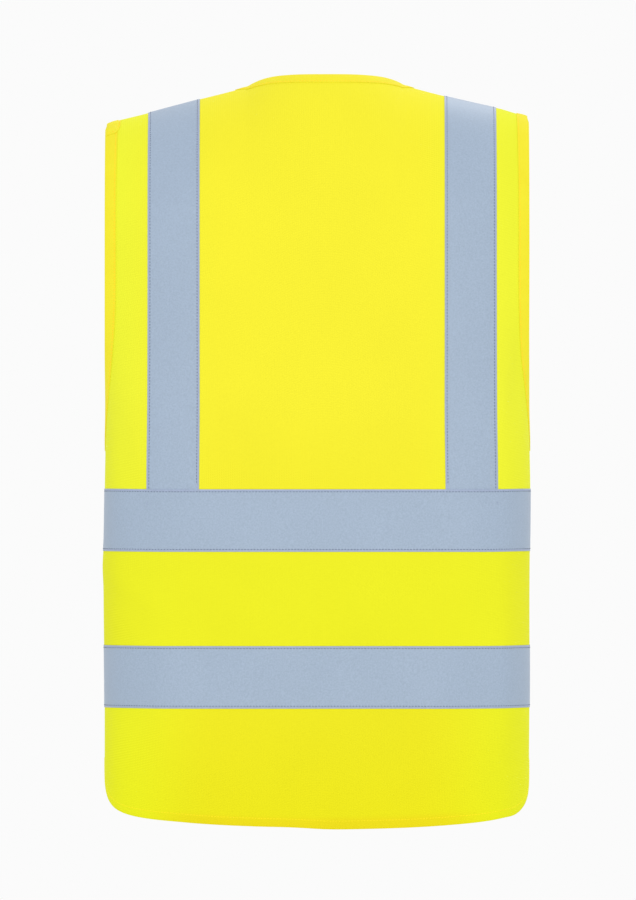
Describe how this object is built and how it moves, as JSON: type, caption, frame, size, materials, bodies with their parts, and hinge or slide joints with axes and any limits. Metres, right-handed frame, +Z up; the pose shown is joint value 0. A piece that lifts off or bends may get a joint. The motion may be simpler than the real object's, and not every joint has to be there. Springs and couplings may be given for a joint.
{
  "type": "high visibility vest",
  "caption": "Sleeveless fluorescent yellow safety vest with reflective bands and braces, V neck and front closure, in its worn shape.",
  "frame": {"origin": "midway between the neck ends of the two shoulder seams, where the vest rests on the wearer's shoulders", "axes": "+Z up, -Y the way the wearer faces, +X the wearer's left"},
  "size_m": [0.4172, 0.2409, 0.728],
  "materials": {
    "cloth": "fluorescent yellow knitted polyester",
    "binding": "fluorescent yellow woven binding",
    "reflective_tape": "silver grey glass bead tape",
    "hook_tape": "yellow hook tape",
    "loop_tape": "yellow loop tape",
    "label": "blank white satin label"
  },
  "bodies": {
    "back": {"back_panel": "cloth", "back_upper_band": "reflective_tape", "back_lower_band": "reflective_tape", "back_left_brace": "reflective_tape", "back_right_brace": "reflective_tape", "back_neck_binding": "binding", "back_left_armhole_binding": "binding", "back_right_armhole_binding": "binding", "care_label": "label"},
    "left_front": {"left_front_panel": "cloth", "left_front_upper_band": "reflective_tape", "left_front_lower_band": "reflective_tape", "left_front_brace": "reflective_tape", "left_front_edge_binding": "binding", "left_front_armhole_binding": "binding", "upper_hook_patch": "hook_tape", "lower_hook_patch": "hook_tape"},
    "right_front": {"right_front_panel": "cloth", "right_front_upper_band": "reflective_tape", "right_front_lower_band": "reflective_tape", "right_front_brace": "reflective_tape", "right_front_edge_binding": "binding", "right_front_armhole_binding": "binding", "upper_loop_patch": "loop_tape", "lower_loop_patch": "loop_tape"}
  },
  "joints": [
    {"name": "left_front_open", "type": "hinge", "parent": "back", "child": "left_front", "pos_m": [0.2085, 0, -0.4], "axis": [0, 0, 1], "range_deg": [0, 90]},
    {"name": "right_front_open", "type": "hinge", "parent": "back", "child": "right_front", "pos_m": [-0.2085, 0, -0.4], "axis": [0, 0, -1], "range_deg": [0, 67.5]}
  ],
  "couplings": [
    {"joint": "right_front_open", "follows": "left_front_open", "ratio": 0.75}
  ]
}
